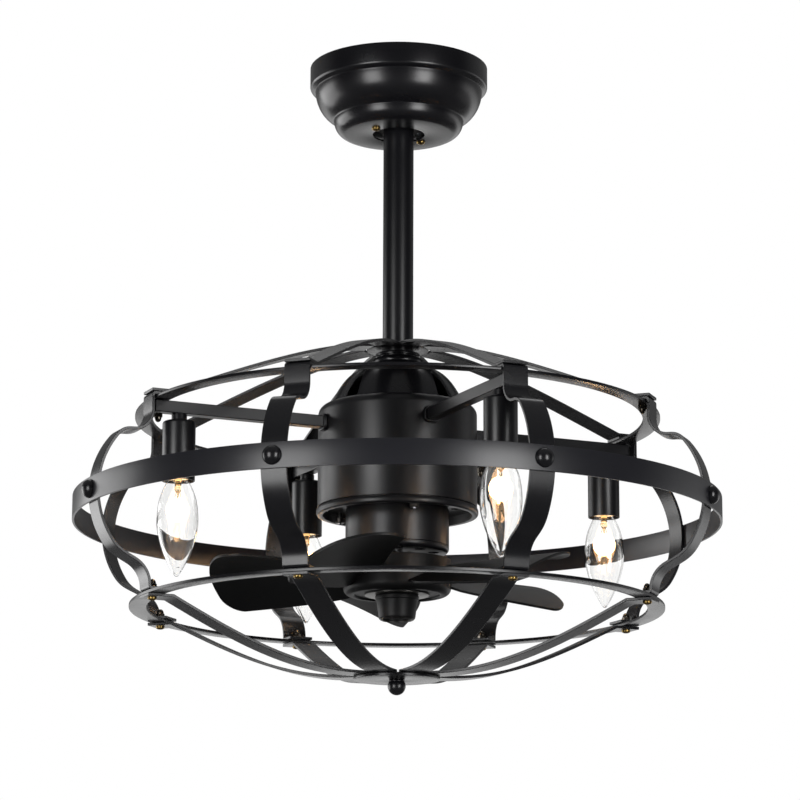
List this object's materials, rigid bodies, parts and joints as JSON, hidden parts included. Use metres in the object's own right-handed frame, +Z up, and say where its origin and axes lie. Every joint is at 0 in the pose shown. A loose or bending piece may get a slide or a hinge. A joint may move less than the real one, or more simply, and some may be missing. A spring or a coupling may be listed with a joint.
{
  "type": "caged ceiling fan",
  "caption": "Ceiling fan on a down rod, with moulded blades that spin inside a round cage of flat bars and candle lamps on square arms",
  "frame": {"origin": "on the fan's axis in the ceiling plane, at the top face of the hanger bracket", "axes": "+Z up into the ceiling, -Y to the front as pictured, +X to the right"},
  "size_m": [0.56, 0.56, 0.5587],
  "materials": {
    "powder_coat": "satin black powder coat on steel",
    "lamp_black": "satin black",
    "moulded_black": "moulded ABS, fine satin",
    "zinc_steel": "zinc plated",
    "bearing_steel": "ground",
    "core_steel": "laminated core",
    "ball_polymer": "moulded nylon",
    "clear_glass": "clear blown glass"
  },
  "bodies": {
    "ceiling_mount": {"hanger_bracket": "zinc_steel", "canopy": "powder_coat"},
    "hanging_fan": {"downrod": "powder_coat", "coupling_collar": "powder_coat", "yoke_spider": "powder_coat", "drum_shell": "powder_coat", "drum_base": "powder_coat", "motor_can": "powder_coat", "motor_end_plate": "powder_coat", "upper_ring": "powder_coat", "lower_ring": "powder_coat", "equator_band": "powder_coat", "centre_ring": "powder_coat", "bottom_disc": "powder_coat", "finial": "powder_coat", "rib_1": "powder_coat", "top_strap_1": "powder_coat", "bottom_strap_1": "powder_coat", "rib_2": "powder_coat", "top_strap_2": "powder_coat", "bottom_strap_2": "powder_coat", "rib_3": "powder_coat", "top_strap_3": "powder_coat", "bottom_strap_3": "powder_coat", "rib_4": "powder_coat", "top_strap_4": "powder_coat", "bottom_strap_4": "powder_coat", "rib_5": "powder_coat", "top_strap_5": "powder_coat", "bottom_strap_5": "powder_coat", "rib_6": "powder_coat", "top_strap_6": "powder_coat", "bottom_strap_6": "powder_coat", "rib_7": "powder_coat", "top_strap_7": "powder_coat", "bottom_strap_7": "powder_coat", "rib_8": "powder_coat", "top_strap_8": "powder_coat", "bottom_strap_8": "powder_coat", "light_arm_1": "powder_coat", "light_socket_1": "lamp_black", "light_bulb_1": "clear_glass", "light_arm_2": "powder_coat", "light_socket_2": "lamp_black", "light_bulb_2": "clear_glass", "light_arm_3": "powder_coat", "light_socket_3": "lamp_black", "light_bulb_3": "clear_glass", "light_arm_4": "powder_coat", "light_socket_4": "lamp_black", "light_bulb_4": "clear_glass", "hanger_pin": "zinc_steel", "hanger_ball": "ball_polymer", "motor_stator": "core_steel", "upper_bearing": "bearing_steel", "lower_bearing": "bearing_steel"},
    "rotor": {"motor_shaft": "bearing_steel", "motor_rotor": "core_steel", "blade_set": "moulded_black", "spinner_knob": "moulded_black"}
  },
  "joints": [
    {"name": "sway", "type": "hinge", "parent": "ceiling_mount", "child": "hanging_fan", "pos_m": [0, 0, -0.038], "axis": [1, 0, 0], "range_deg": [-15, 15]},
    {"name": "rotor_spin", "type": "hinge", "parent": "hanging_fan", "child": "rotor", "pos_m": [0, 0, -0.46], "axis": [0, 0, 1], "continuous": true}
  ]
}
